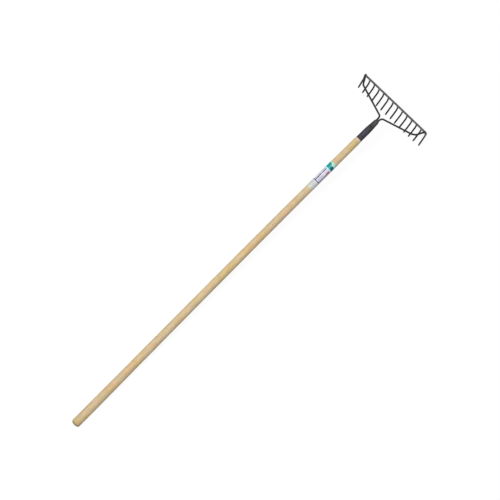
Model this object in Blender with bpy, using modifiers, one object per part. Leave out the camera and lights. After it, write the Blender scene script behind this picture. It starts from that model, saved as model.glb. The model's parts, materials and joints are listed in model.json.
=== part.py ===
"""Bow rake: a welded steel head with fourteen bent tines, nailed by its socket to a long wooden handle.

Everything is modelled in the tool's own frame and then laid at rest on the ground, on its tine tips and its butt.
Tool frame: origin at the throat, where the bow rods leave the weld at the socket; +Y forward along the handle's
axis, +X along the bar, and the tines point down, along -Z.
"""

import math

import bmesh
import bpy
from mathutils import Matrix, Vector

# ---------------------------------------------------------------- driving dimensions, metres
GAP = 0.0003  # left between pieces that touch

SOCKET_LENGTH = 0.082  # from its mouth to its narrow end
WELD_REACH = 0.014  # from the socket's narrow end to the throat
MOUTH_Y = -(SOCKET_LENGTH + WELD_REACH)
SOCKET_RADIUS = 0.0122
SOCKET_SHEET = 0.0012
SOCKET_END_HALF_WIDTH = 0.0103
SOCKET_END_HALF_HEIGHT = 0.0057
SOCKET_WIDTH_TAPER_START = -0.052
SOCKET_HEIGHT_TAPER_START = -0.046
SEAM_WIDTH = 0.0014

HANDLE_VISIBLE = 1.4065  # from the butt to the socket's mouth
BUTT_Y = MOUTH_Y - HANDLE_VISIBLE
BUTT_RADIUS = 0.0164
BUTT_ROUNDING = 0.009
# distance from the butt, radius of the shaft there
HANDLE_TAPER = (
    (0.100, BUTT_RADIUS),
    (0.240, 0.0158),
    (0.330, 0.0154),
    (0.480, 0.0151),
    (0.700, 0.0147),
    (1.000, 0.0142),
    (1.200, 0.0137),
    (1.395, 0.0131),
)
SHOULDER_RADIUS = 0.0126
TENON_RADIUS = 0.0105
TENON_TAPER_Y = -0.052
TENON_END_Y = -0.030
TENON_END_RADIUS = 0.0066

HANDLE_WARP = 0.0030  # how far the shaft and the socket bend to the left, where the bend is deepest
WARP_SKEW = 1.4  # above 1, the deepest place lies nearer to the head than to the butt

NAIL_HEAD_RADIUS = 0.0023
NAIL_HEAD_HEIGHT = 0.0010
NAIL_SHANK_RADIUS = 0.0010
NAIL_LENGTH = 0.0125
NAIL_Y = {"socket_nail_rear": MOUTH_Y + 0.015, "socket_nail_front": MOUTH_Y + 0.061}

BOW_ROD_RADIUS = 0.0033
BOW_ROD_SPACING = 0.0072  # between the two rods' axes, side by side in the socket
BOW_ROD_START_Y = -0.028
# The two arms are bent by hand, so they aren't quite alike.
BOW_ARM_START = {"left": Vector((-0.0055, 0.0130, 0.0)), "right": Vector((0.0060, 0.0106, 0.0))}
BOW_ARM_END = {"left": Vector((-0.1270, 0.0516, -0.0070)), "right": Vector((0.1280, 0.0476, -0.0070))}
BOW_THROAT_BEND = 0.030
BOW_INNER_BEND = {"left": 0.010, "right": 0.013}
BOW_OUTER_BEND = {"left": 0.018, "right": 0.030}

TINE_COUNT = 14
TINE_PITCH = 0.02283
TINE_RADIUS = 0.0030
TINE_TIP_FACTOR = 0.62
TINE_TIP_LENGTH = 0.006
TINE_KNEE_BEND = 0.035
BAR_RADIUS = 0.0037
BAR_Y = 0.085
BAR_Z = -0.032
BAR_CORNER_BEND = 0.008
KNEE_OFFSET = Vector((0.0, -0.0085, -0.0330))  # from the bar's axis to the bend of a tine
TIP_OFFSET = Vector((0.0, -0.0430, -0.0705))  # from the bar's axis to the end of a tine
# The two end tines are bent down from the ends of the bar, and their tips lean a little.
BAR_END_X = {"left": -0.1507, "right": 0.1484}
END_TIP_LEAN = {"left": Vector((0.0018, 0.0025, 0.0)), "right": Vector((0.0025, 0.0025, 0.0))}

# The left foot of the bow is welded on the corner of the bar, the right one just before its corner.
BOW_FOOT_X = {"left": -0.1486, "right": 0.1412}
BOW_WELD_RADIUS = {"left": 0.0050, "right": 0.0060}
# the left bead is built out round the corner of the bar
BOW_WELD_SHIFT = {"left": Vector((-0.0024, 0.0034, 0.0)), "right": Vector((0.0, 0.0, 0.0))}
TINE_WELD_RADIUS = 0.0043

LABEL_START = 1.1655  # distance from the butt
LABEL_LENGTH = 0.122
LABEL_THICKNESS = 0.0004
LABEL_SEAM = 0.006

ROUND_STEPS = 32  # facets round the handle, the socket and the label
SMALL_STEPS = 14  # facets round a nail, a nail hole or a weld bead
ROD_RESOLUTION = 3
ARC_STEP = math.radians(13)
SMOOTH_ANGLE = math.radians(35)

# name: colour, roughness, metallic
FINISHES = {
    "handle_wood": ((0.60, 0.45, 0.27), 0.62, 0.0),
    "head_paint": ((0.055, 0.053, 0.066), 0.42, 0.2),
    "weld_paint": ((0.070, 0.068, 0.080), 0.50, 0.2),
    "nail_steel": ((0.035, 0.034, 0.040), 0.45, 0.7),
    "label_film": ((0.78, 0.82, 0.84), 0.35, 0.0),
}


# ---------------------------------------------------------------- scene, collections, materials
def clear_scene():
    for old in list(bpy.data.objects):
        bpy.data.objects.remove(old, do_unlink=True)


def new_collection(name):
    collection = bpy.data.collections.new(name)
    bpy.context.scene.collection.children.link(collection)
    return collection


def make_material(name):
    colour, roughness, metallic = FINISHES[name]
    material = bpy.data.materials.new(name)
    material.use_nodes = True
    shader = material.node_tree.nodes["Principled BSDF"]
    shader.inputs["Base Color"].default_value = (*colour, 1.0)
    shader.inputs["Roughness"].default_value = roughness
    shader.inputs["Metallic"].default_value = metallic
    return material


clear_scene()
RAKE = new_collection("bow_rake")
CUTTERS = new_collection("cutters")
MATERIALS = {name: make_material(name) for name in FINISHES}
AT_REST = bpy.data.objects.new("at_rest", None)
RAKE.objects.link(AT_REST)


def add_part(name, data, finish):
    if not data.materials:
        data.materials.append(MATERIALS[finish])
    part = bpy.data.objects.new(name, data)
    part.parent = AT_REST
    RAKE.objects.link(part)
    return part


def add_cutter(name, mesh):
    cutter = bpy.data.objects.new(name, mesh)
    cutter.parent = AT_REST
    cutter.hide_render = True
    cutter.display_type = "WIRE"
    CUTTERS.objects.link(cutter)
    return cutter


def shade_round(mesh):
    mesh.shade_smooth()
    mesh.set_sharp_from_angle(angle=SMOOTH_ANGLE)


def subtract(part, cutter):
    cut = part.modifiers.new("cut_" + cutter.name, "BOOLEAN")
    cut.operation = "DIFFERENCE"
    cut.solver = "EXACT"
    cut.object = cutter


# ---------------------------------------------------------------- shape helpers
def turned_mesh(name, profile, steps):
    """A mesh turned about +Z from (radius, height) pairs that run from the top to the bottom."""
    outline = bpy.data.meshes.new(name + "_outline")
    points = [(radius, 0.0, height) for radius, height in profile]
    edges = [(i, i + 1) for i in range(len(points) - 1)]
    outline.from_pydata(points, edges, [])
    turning = bpy.data.objects.new(name + "_turning", outline)
    RAKE.objects.link(turning)
    screw = turning.modifiers.new("turn", "SCREW")
    screw.steps = steps
    screw.render_steps = steps
    screw.use_merge_vertices = True
    screw.merge_threshold = 0.00005
    graph = bpy.context.evaluated_depsgraph_get()
    mesh = bpy.data.meshes.new_from_object(turning.evaluated_get(graph))
    bpy.data.objects.remove(turning, do_unlink=True)
    bpy.data.meshes.remove(outline)
    mesh.name = name
    shade_round(mesh)
    return mesh


def filleted(corners, radii):
    """Points along straight runs that join the corners, with an arc of the given radius at each inner corner."""
    points = [corners[0]]
    for before, corner, after, radius in zip(corners, corners[1:], corners[2:], radii):
        back = (before - corner).normalized()
        ahead = (after - corner).normalized()
        opening = back.angle(ahead)
        centre = corner + (back + ahead).normalized() * (radius / math.sin(opening / 2))
        start = corner + back * (radius / math.tan(opening / 2)) - centre
        end = corner + ahead * (radius / math.tan(opening / 2)) - centre
        axis = start.cross(end)
        steps = max(2, math.ceil((math.pi - opening) / ARC_STEP))
        for i in range(steps + 1):
            turn = Matrix.Rotation((math.pi - opening) * i / steps, 3, axis)
            points.append(centre + turn @ start)
    points.append(corners[-1])
    return points


def rod_curve(name, points, radius, factors=None):
    """A round rod along the points, with closed ends; factors scale its radius at each point."""
    curve = bpy.data.curves.new(name, "CURVE")
    curve.dimensions = "3D"
    curve.bevel_depth = radius
    curve.bevel_resolution = ROD_RESOLUTION
    curve.use_fill_caps = True
    spline = curve.splines.new("POLY")
    spline.points.add(len(points) - 1)
    for i, point in enumerate(points):
        spline.points[i].co = (*point, 1.0)
        spline.points[i].radius = factors[i] if factors else 1.0
    spline.use_smooth = True
    return curve


def rod_mesh(name, points, radius, factors=None):
    """The same rod as one closed mesh, for a piece that is cut or that cuts."""
    curve = rod_curve(name + "_curve", points, radius, factors)
    drawn = bpy.data.objects.new(name + "_drawn", curve)
    RAKE.objects.link(drawn)
    graph = bpy.context.evaluated_depsgraph_get()
    mesh = bpy.data.meshes.new_from_object(drawn.evaluated_get(graph))
    bpy.data.objects.remove(drawn, do_unlink=True)
    bpy.data.curves.remove(curve)
    body = bmesh.new()
    body.from_mesh(mesh)
    bmesh.ops.remove_doubles(body, verts=body.verts, dist=0.00001)
    bmesh.ops.recalc_face_normals(body, faces=body.faces)
    body.to_mesh(mesh)
    body.free()
    mesh.name = name
    shade_round(mesh)
    return mesh


def rolled_sheet(name, rings, seam, thickness, finish):
    """A sheet rolled round the shaft's axis and open along its underside.

    rings holds (y, half width, half height) for each cross-section, and seam is the width of the open joint.
    """
    mesh = bpy.data.meshes.new(name)
    body = bmesh.new()
    rows = []
    for y, half_width, half_height in rings:
        margin = seam / 2 / half_width
        row = []
        for i in range(ROUND_STEPS + 1):
            angle = -math.pi / 2 + margin + (2 * math.pi - 2 * margin) * i / ROUND_STEPS
            row.append(body.verts.new((half_width * math.cos(angle), y, half_height * math.sin(angle))))
        rows.append(row)
    for rear, front in zip(rows, rows[1:]):
        for i in range(ROUND_STEPS):
            body.faces.new((rear[i], front[i], front[i + 1], rear[i + 1]))
    body.to_mesh(mesh)
    body.free()
    follow_warp(mesh)
    shade_round(mesh)
    sheet = add_part(name, mesh, finish)
    solidify = sheet.modifiers.new("sheet", "SOLIDIFY")
    solidify.thickness = thickness
    solidify.offset = -1.0
    solidify.use_even_offset = True
    return sheet


def ease(value, start, end):
    """0 before start, 1 after end, with a smooth change between them."""
    t = min(1.0, max(0.0, (value - start) / (end - start)))
    return t * t * (3 - 2 * t)


# ---------------------------------------------------------------- handle
def warp_at(y):
    """Where the axis of the shaft and the socket lies, to the left of the straight line from the butt to the weld."""
    share = min(1.0, max(0.0, (y - BUTT_Y) / (-WELD_REACH - BUTT_Y)))
    deepest = WARP_SKEW / (1 + WARP_SKEW)
    return -HANDLE_WARP * (share / deepest) ** WARP_SKEW * (1 - share) / (1 - deepest)


def follow_warp(mesh):
    for vertex in mesh.vertices:
        vertex.co.x += warp_at(vertex.co.y)


def handle_radius(distance):
    """The shaft's radius at a distance from the butt."""
    if distance <= HANDLE_TAPER[0][0]:
        return HANDLE_TAPER[0][1]
    for (near, near_radius), (far, far_radius) in zip(HANDLE_TAPER, HANDLE_TAPER[1:]):
        if distance <= far:
            return near_radius + (far_radius - near_radius) * (distance - near) / (far - near)
    return HANDLE_TAPER[-1][1]


def make_handle():
    profile = [
        (0.0, TENON_END_Y),
        (TENON_END_RADIUS, TENON_END_Y),
        (TENON_RADIUS, TENON_TAPER_Y),
        (TENON_RADIUS, MOUTH_Y - GAP),
        (SHOULDER_RADIUS, MOUTH_Y - GAP),
    ]
    profile += [(radius, BUTT_Y + distance) for distance, radius in reversed(HANDLE_TAPER)]
    flat = BUTT_RADIUS - BUTT_ROUNDING
    for i in range(7):
        angle = math.pi / 2 * i / 6
        profile.append(
            (flat + BUTT_ROUNDING * math.cos(angle), BUTT_Y + BUTT_ROUNDING * (1 - math.sin(angle)))
        )
    profile.append((0.0, BUTT_Y))
    mesh = turned_mesh("handle_shaft", profile, ROUND_STEPS)
    mesh.transform(Matrix.Rotation(-math.pi / 2, 4, "X"))
    follow_warp(mesh)
    return add_part("handle_shaft", mesh, "handle_wood")


def make_label():
    rings = []
    for distance in (LABEL_START, LABEL_START + LABEL_LENGTH):
        radius = handle_radius(distance) + GAP + LABEL_THICKNESS
        rings.append((BUTT_Y + distance, radius, radius))
    return rolled_sheet("handle_label", rings, LABEL_SEAM, LABEL_THICKNESS, "label_film")


# ---------------------------------------------------------------- socket and nails
def socket_half_width(y):
    fall = ease(y, SOCKET_WIDTH_TAPER_START, -WELD_REACH)
    return SOCKET_RADIUS - (SOCKET_RADIUS - SOCKET_END_HALF_WIDTH) * fall


def socket_half_height(y):
    fall = ease(y, SOCKET_HEIGHT_TAPER_START, -WELD_REACH)
    return SOCKET_RADIUS - (SOCKET_RADIUS - SOCKET_END_HALF_HEIGHT) * fall


def make_socket():
    taper_rings = 8
    stations = [MOUTH_Y]
    for i in range(taper_rings + 1):
        fraction = i / taper_rings
        stations.append(SOCKET_WIDTH_TAPER_START * (1 - fraction) - WELD_REACH * fraction)
    rings = [(y, socket_half_width(y), socket_half_height(y)) for y in stations]
    return rolled_sheet("socket_ferrule", rings, SEAM_WIDTH, SOCKET_SHEET, "head_paint")


def nail_place(y):
    """Where a nail enters the top of the socket, square to the sheet."""
    step = 0.0005
    slope = (socket_half_height(y + step) - socket_half_height(y - step)) / (2 * step)
    return Matrix.Translation((0.0, y, socket_half_height(y))) @ Matrix.Rotation(math.atan(slope), 4, "X")


def make_nail(name, y):
    profile = [
        (0.0, GAP + NAIL_HEAD_HEIGHT),
        (NAIL_HEAD_RADIUS * 0.55, GAP + NAIL_HEAD_HEIGHT * 0.88),
        (NAIL_HEAD_RADIUS * 0.90, GAP + NAIL_HEAD_HEIGHT * 0.50),
        (NAIL_HEAD_RADIUS, GAP),
        (NAIL_SHANK_RADIUS, GAP),
        (NAIL_SHANK_RADIUS, GAP - NAIL_LENGTH * 0.8),
        (0.0, GAP - NAIL_LENGTH),
    ]
    mesh = turned_mesh(name, profile, SMALL_STEPS)
    mesh.transform(nail_place(y))
    follow_warp(mesh)
    return add_part(name, mesh, "nail_steel")


def make_nail_hole(name, y):
    mesh = bpy.data.meshes.new(name)
    body = bmesh.new()
    bmesh.ops.create_cone(
        body,
        cap_ends=True,
        segments=SMALL_STEPS,
        radius1=NAIL_SHANK_RADIUS + GAP,
        radius2=NAIL_SHANK_RADIUS + GAP,
        depth=2 * NAIL_LENGTH,
    )
    body.to_mesh(mesh)
    body.free()
    mesh.transform(nail_place(y))
    follow_warp(mesh)
    return add_cutter(name, mesh)


# ---------------------------------------------------------------- bow
def bow_rod_points(side):
    """The route of a bow rod, from inside the socket to the axis of the bar."""
    foot_x = BOW_FOOT_X[side]
    socket_x = math.copysign(BOW_ROD_SPACING / 2, foot_x)
    corners = [
        Vector((socket_x, BOW_ROD_START_Y, 0.0)),
        Vector((socket_x, 0.0, 0.0)),
        BOW_ARM_START[side],
        BOW_ARM_END[side],
        Vector((foot_x, BAR_Y, bar_height(foot_x))),
    ]
    return filleted(corners, (BOW_THROAT_BEND, BOW_INNER_BEND[side], BOW_OUTER_BEND[side]))


def bar_height(x):
    """The height of the bar's axis, which drops along an arc at the two corners."""
    left_corner = BAR_END_X["left"] + BAR_CORNER_BEND
    right_corner = BAR_END_X["right"] - BAR_CORNER_BEND
    past = max(0.0, left_corner - x, x - right_corner)
    return BAR_Z - BAR_CORNER_BEND + math.sqrt(BAR_CORNER_BEND**2 - past**2)


def make_bow_rod(side, bar_clearance):
    name = "bow_rod_" + side
    rod = add_part(name, rod_mesh(name, bow_rod_points(side), BOW_ROD_RADIUS), "head_paint")
    subtract(rod, bar_clearance)
    return rod


def bead_mesh(name, centre, radii):
    mesh = bpy.data.meshes.new(name)
    body = bmesh.new()
    bmesh.ops.create_uvsphere(body, u_segments=SMALL_STEPS, v_segments=SMALL_STEPS // 2 + 1, radius=1.0)
    body.to_mesh(mesh)
    body.free()
    mesh.transform(Matrix.Translation(centre) @ Matrix.Diagonal((*radii, 1.0)))
    shade_round(mesh)
    return mesh


def make_bow_weld(side, bar_clearance, rod_clearance):
    points = bow_rod_points(side)
    inward = (points[-2] - points[-1]).normalized()
    centre = points[-1] + inward * (BAR_RADIUS + GAP) + BOW_WELD_SHIFT[side]
    name = "bow_weld_" + side
    weld = add_part(name, bead_mesh(name, centre, [BOW_WELD_RADIUS[side]] * 3), "weld_paint")
    subtract(weld, bar_clearance)
    subtract(weld, rod_clearance)
    return weld


def make_throat_weld(clearances):
    """The fillet that joins both bow rods to the narrow end of the socket."""
    radii = (SOCKET_END_HALF_WIDTH, WELD_REACH, SOCKET_END_HALF_HEIGHT)
    rear = -WELD_REACH + GAP
    weld = add_part(
        "throat_weld", bead_mesh("throat_weld", Vector((0.0, rear, 0.0)), radii), "weld_paint"
    )
    trim_mesh = bpy.data.meshes.new("throat_trim")
    body = bmesh.new()
    bmesh.ops.create_cube(body, size=0.04)
    body.to_mesh(trim_mesh)
    body.free()
    trim_mesh.transform(Matrix.Translation((0.0, rear - 0.02, 0.0)))
    subtract(weld, add_cutter("throat_trim", trim_mesh))
    for clearance in clearances:
        subtract(weld, clearance)
    return weld


# ---------------------------------------------------------------- bar and tines
def tine_x(number):
    """The place along the bar of tine 2 to 13, counted from the left; the bar itself ends in 1 and 14."""
    return (number - (TINE_COUNT + 1) / 2) * TINE_PITCH


def tine_corners(x, root_drop):
    """The root, bend and tip of a tine whose root is a given distance from the bar's axis."""
    axis = Vector((x, BAR_Y, BAR_Z))
    root = axis + KNEE_OFFSET.normalized() * root_drop
    return [root, axis + KNEE_OFFSET, axis + TIP_OFFSET]


def with_tip(points):
    """Splits the last run so that only the tip narrows."""
    along = (points[-2] - points[-1]).normalized()
    return points[:-1] + [points[-1] + along * TINE_TIP_LENGTH, points[-1]]


def make_tine(number):
    corners = tine_corners(tine_x(number), BAR_RADIUS + GAP)
    points = with_tip(filleted(corners, (TINE_KNEE_BEND,)))
    factors = [1.0] * (len(points) - 1) + [TINE_TIP_FACTOR]
    name = f"tine_{number:02d}"
    return add_part(name, rod_curve(name, points, TINE_RADIUS, factors), "head_paint")


def bar_route():
    """The bar's axis with both end tines, which are bent down from the same rod."""
    left = tine_corners(BAR_END_X["left"], 0.0)
    right = tine_corners(BAR_END_X["right"], 0.0)
    left[-1] += END_TIP_LEAN["left"]
    right[-1] += END_TIP_LEAN["right"]
    bends = (TINE_KNEE_BEND, BAR_CORNER_BEND, BAR_CORNER_BEND, TINE_KNEE_BEND)
    points = filleted(left[::-1] + right, bends)
    points = with_tip(points)
    points = with_tip(points[::-1])[::-1]
    return points


def bar_factors(points):
    """The rod is drawn down from the bar's radius to a tine's over the first part of each end tine."""
    thin = TINE_RADIUS / BAR_RADIUS
    factors = [1 - (1 - thin) * ease(BAR_Z - point.z, 0.004, 0.034) for point in points]
    factors[0] = factors[-1] = thin * TINE_TIP_FACTOR
    return factors


def make_bar():
    points = bar_route()
    return add_part("head_bar", rod_curve("head_bar", points, BAR_RADIUS, bar_factors(points)), "head_paint")


def make_tine_welds(bar_clearance):
    """A bead round the root of each of the twelve welded tines, all with the same mesh."""
    root, knee, _ = tine_corners(tine_x(2), BAR_RADIUS + GAP)
    above_root = root + (root - knee).normalized() * 0.002
    fat_tine = rod_mesh("tine_clearance", [above_root, knee], TINE_RADIUS + GAP)
    tine_clearance = add_cutter("tine_clearance", fat_tine)
    uncut = add_part("tine_weld", bead_mesh("uncut", root, [TINE_WELD_RADIUS] * 3), "weld_paint")
    subtract(uncut, bar_clearance)
    subtract(uncut, tine_clearance)
    graph = bpy.context.evaluated_depsgraph_get()
    mesh = bpy.data.meshes.new_from_object(uncut.evaluated_get(graph))
    bpy.data.objects.remove(uncut, do_unlink=True)
    for number in range(2, TINE_COUNT):
        bead = add_part(f"tine_weld_{number:02d}", mesh, "weld_paint")
        bead.location.x = tine_x(number) - tine_x(2)


# ---------------------------------------------------------------- assembly
def make_rake():
    handle = make_handle()
    socket = make_socket()
    make_label()
    for name, y in NAIL_Y.items():
        make_nail(name, y)
        hole = make_nail_hole(name + "_hole", y)
        subtract(handle, hole)
        subtract(socket, hole)

    make_bar()
    for number in range(2, TINE_COUNT):
        make_tine(number)

    route = bar_route()
    fat_bar = rod_mesh("bar_clearance", route, BAR_RADIUS + GAP)
    bar_clearance = add_cutter("bar_clearance", fat_bar)
    make_tine_welds(bar_clearance)
    clearances = []
    for side in ("left", "right"):
        make_bow_rod(side, bar_clearance)
        fat_rod = rod_mesh("bow_clearance_" + side, bow_rod_points(side), BOW_ROD_RADIUS + GAP)
        clearances.append(add_cutter("bow_clearance_" + side, fat_rod))
        make_bow_weld(side, bar_clearance, clearances[-1])
    make_throat_weld(clearances)


def rest_tilt():
    """The turn about X that brings the tine tips and the butt down to the same level."""
    butt = Vector((BUTT_Y + BUTT_ROUNDING, BUTT_ROUNDING - BUTT_RADIUS))
    down_tine = (TIP_OFFSET - KNEE_OFFSET).normalized()
    toe = TINE_RADIUS * TINE_TIP_FACTOR
    tip = Vector(
        (BAR_Y + TIP_OFFSET.y - toe * down_tine.z, BAR_Z + TIP_OFFSET.z + toe * down_tine.y)
    )
    reach = tip - butt
    return -(math.atan2(reach.y, reach.x) + math.asin(BUTT_ROUNDING / reach.length))


def world_box():
    """The lowest and highest corners of all the parts, as they stand."""
    graph = bpy.context.evaluated_depsgraph_get()
    low = Vector((math.inf,) * 3)
    high = -low
    for part in RAKE.objects:
        if part.type == "EMPTY":
            continue
        placed = part.evaluated_get(graph)
        mesh = placed.to_mesh()
        for vertex in mesh.vertices:
            corner = placed.matrix_world @ vertex.co
            low = Vector(map(min, low, corner))
            high = Vector(map(max, high, corner))
        placed.to_mesh_clear()
    return low, high


def lay_at_rest():
    """The origin ends at the middle of the rake's box, on the ground."""
    AT_REST.rotation_euler.x = rest_tilt()
    bpy.context.view_layer.update()
    low, high = world_box()
    AT_REST.location = (-(low.x + high.x) / 2, -(low.y + high.y) / 2, -low.z)
    bpy.context.view_layer.update()


make_rake()
lay_at_rest()
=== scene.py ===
"""Looks of the bow rake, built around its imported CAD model.

Each piece is modelled again with a fine surface and stands for its own CAD node. All of it is made in the
tool's own frame: origin at the throat, where the bow rods leave the weld at the socket; +Y forward along the
handle's axis, +X along the bar, and the tines point down, along -Z.
"""

import json
import math
import random

import bmesh
import bpy
from mathutils import Matrix, Vector, noise


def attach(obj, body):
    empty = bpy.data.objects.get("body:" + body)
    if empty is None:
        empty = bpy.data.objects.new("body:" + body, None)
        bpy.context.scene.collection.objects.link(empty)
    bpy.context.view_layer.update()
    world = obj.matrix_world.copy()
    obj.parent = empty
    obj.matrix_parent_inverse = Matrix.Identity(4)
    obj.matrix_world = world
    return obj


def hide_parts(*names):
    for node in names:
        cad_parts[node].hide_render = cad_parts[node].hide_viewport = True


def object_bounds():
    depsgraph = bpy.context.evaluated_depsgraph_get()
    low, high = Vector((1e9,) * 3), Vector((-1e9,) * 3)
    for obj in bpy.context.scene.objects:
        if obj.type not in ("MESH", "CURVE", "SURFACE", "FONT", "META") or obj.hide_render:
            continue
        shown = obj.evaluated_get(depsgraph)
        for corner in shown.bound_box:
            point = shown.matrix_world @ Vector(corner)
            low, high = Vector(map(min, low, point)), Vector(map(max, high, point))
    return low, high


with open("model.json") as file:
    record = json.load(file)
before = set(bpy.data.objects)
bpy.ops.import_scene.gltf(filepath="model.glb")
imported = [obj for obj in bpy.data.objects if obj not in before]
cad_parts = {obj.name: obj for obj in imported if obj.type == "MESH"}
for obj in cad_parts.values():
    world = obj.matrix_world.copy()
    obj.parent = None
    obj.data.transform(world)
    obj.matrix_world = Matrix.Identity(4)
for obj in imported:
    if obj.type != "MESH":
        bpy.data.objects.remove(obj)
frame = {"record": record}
cad_low, cad_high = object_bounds()

# ---------------------------------------------------------------- sizes, metres, nearly all the CAD model's
MOUTH_Y = -0.096  # the socket's mouth
WELD_REACH = 0.014  # from the socket's narrow end to the throat
SOCKET_RADIUS = 0.0122
SOCKET_SHEET = 0.0012
SOCKET_END_HALF_WIDTH = 0.0099
SOCKET_END_HALF_HEIGHT = 0.0057
SOCKET_WIDTH_TAPER_START = -0.052
SOCKET_HEIGHT_TAPER_START = -0.046
SOCKET_EDGE = 0.0003  # rounding of the sheet's edges
SEAM_WIDTH = 0.0014

BUTT_Y = -1.5025
BUTT_RADIUS = 0.0164
BUTT_ROUNDING = 0.009
# distance from the butt, radius of the shaft there
HANDLE_TAPER = (
    (0.000, BUTT_RADIUS),
    (0.100, BUTT_RADIUS),
    (0.240, 0.0158),
    (0.330, 0.0154),
    (0.480, 0.0151),
    (0.700, 0.0147),
    (1.000, 0.0142),
    (1.200, 0.0137),
    (1.395, 0.0131),
    (1.4065, 0.0126),
)
SHOULDER_ROUNDING = 0.0022
TENON_RADIUS = 0.0105
TENON_TAPER_Y = -0.052
TENON_END_Y = -0.030
TENON_END_RADIUS = 0.0066
SHOULDER_GAP = 0.0003  # between the shaft's shoulder and the socket's mouth

HANDLE_WARP = 0.0030  # how far the shaft and the socket bend to the left, where the bend is deepest
WARP_SKEW = 1.4  # above 1, the deepest place lies nearer to the head than to the butt

NAIL_HEAD_RADIUS = 0.0023
NAIL_HEAD_HEIGHT = 0.0010
NAIL_SHANK_RADIUS = 0.0010
NAIL_LENGTH = 0.0125
NAIL_Y = {"rear": MOUTH_Y + 0.015, "front": MOUTH_Y + 0.061}
NAIL_DENT_DEPTH = 0.0004
NAIL_DENT_RADIUS = 0.0036

BOW_ROD_RADIUS = 0.0033
BOW_ROD_HALF_SPACING = 0.0036
BOW_ROD_START_Y = -0.028
BOW_TIP_FACTOR = 0.95
BOW_ARM_START = {"left": Vector((-0.0055, 0.0130, 0.0)), "right": Vector((0.0060, 0.0106, 0.0))}
BOW_ARM_END = {"left": Vector((-0.1270, 0.0516, -0.0070)), "right": Vector((0.1280, 0.0476, -0.0070))}
BOW_THROAT_BEND = 0.030
BOW_INNER_BEND = {"left": 0.010, "right": 0.013}
BOW_OUTER_BEND = {"left": 0.018, "right": 0.030}

TINE_COUNT = 14
TINE_PITCH = 0.02283
TINE_RADIUS = 0.0030
TINE_TIP_FACTOR = 0.62
TINE_TIP_LENGTH = 0.006
TINE_KNEE_BEND = 0.035
BAR_RADIUS = 0.0037
BAR_Y = 0.085
BAR_Z = -0.032
BAR_CORNER_BEND = 0.008
KNEE_OFFSET = Vector((0.0, -0.0085, -0.0330))  # from the bar's axis to the bend of a tine
TIP_OFFSET = Vector((0.0, -0.0430, -0.0705))  # from the bar's axis to the end of a tine
BAR_END_X = {"left": -0.1507, "right": 0.1484}
END_TIP_LEAN = {"left": Vector((0.0018, 0.0025, 0.0)), "right": Vector((0.0025, 0.0025, 0.0))}

BOW_FOOT_X = {"left": -0.1486, "right": 0.1412}
BOW_BEAD_SHIFT = {"left": Vector((-0.0024, 0.0034, 0.0)), "right": Vector((0.0, 0.0, 0.0))}
BOW_BEAD_RADIUS = {"left": 0.0050, "right": 0.0058}
TINE_BEAD_RADIUS = 0.0042
TINE_BEAD_REACH = 0.0040

LABEL_START = 1.1655  # distance from the butt
LABEL_LENGTH = 0.122
LABEL_SEAM = 0.006
LABEL_FILM = 0.00022
LABEL_STANDOFF = 0.00032  # from the wood to the film's outer face
LABEL_CORNER_LIFT = 0.0005
LABEL_CORNER_REACH = 0.008

# ---------------------------------------------------------------- the label's print and a painted highlight on it, metres
# A span runs along the handle from the label's rear edge; around is measured from the handle's top to its
# right, so the left side is negative.
PRINT_RADIUS = 0.0142
PRINT_EDGE = 0.0003
PANEL_SPAN = (0.0280, 0.0900)
FRAME_SPAN = (0.0325, 0.0885)
END_LINE_SPAN = (0.0322, 0.0352)
STEM_AROUND = (-0.0066, -0.0030)
STEM_GAP_SPAN = (0.0660, 0.0685)
SIDE_LINE_SPAN = (0.0325, 0.0725)
SIDE_LINE_AROUND = (0.0112, 0.0140)
RULED_SPAN = (0.0390, 0.0640)
RULED_AROUND = (0.0000, 0.0096)
RULE_PITCH = 0.0022
BLOCK_SPAN = (0.0725, 0.0885)
BLOCK_AROUND = (0.0078, 0.0155)
TOP_LINE_AROUND = (-0.0150, -0.0138)
TEAL_START = 0.0940
MINT_START = 0.1120
MINT_SLANT = 0.35  # how far the mint's edge slants along the handle, for each metre round it
DEEP_TEAL_START = (0.0345, 0.0365)  # round the handle, where the teal turns deep
DEEP_TEAL_SLANT = 0.3  # how far that place moves to the left, for each metre along the handle
# a painted highlight, not print: a pale cyan disc where the teal meets the mint; its centre and half size
PAINTED_HIGHLIGHT_CENTRE = (0.1115, 0.0038)  # along, around
PAINTED_HIGHLIGHT_HALF_SIZE = (0.0060, 0.0040)

# ---------------------------------------------------------------- the wood's grain, metres
PITH = Vector((0.046, 0.0, -0.031))  # the middle of the tree that the handle was sawn from, off to one side
GROWTH_RING = 0.0021
RING_WAVER = 0.020

# ---------------------------------------------------------------- unevenness of the surfaces, metres
SKIN_INSET = 0.0001  # keeps the uneven skins of the shaft and the socket inside their nominal sizes
PLANED_DEPTH = 0.00016
ROUGH_GRAIN_DEPTH = 0.00005
FILM_WRINKLE = 0.00009
FILM_EDGE_WRINKLE = 0.00012
SOCKET_DENT_DEPTH = 0.00022
SOCKET_HAMMER_DEPTH = 0.00010
SOCKET_GROOVE_SHARE = 0.20  # of the half height, pressed in between the two rods
SOCKET_GROOVE_WIDTH = 0.0024
SOCKET_GROOVE_FULL_Y = -0.020  # from here on the groove has its full depth
NAIL_LUMPS = 0.00012
ROD_MEAN_SHARE = 0.992  # keeps the uneven rods inside their nominal size
ROD_UNEVENNESS = 0.020  # share of the radius
BEAD_MEAN_SHARE = 0.95
BEAD_LUMPS = 0.10  # this and the next two as shares of the bead's size
BEAD_GRIT = 0.035
BEAD_RIPPLES = 0.020
COLLAR_LUMPS = 0.00036
COLLAR_RIPPLES = 0.00022
COLLAR_RIPPLE_COUNT = 11
TINE_KNEE_CHANCE = 0.0003
TINE_TIP_CHANCE = 0.0006

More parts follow.
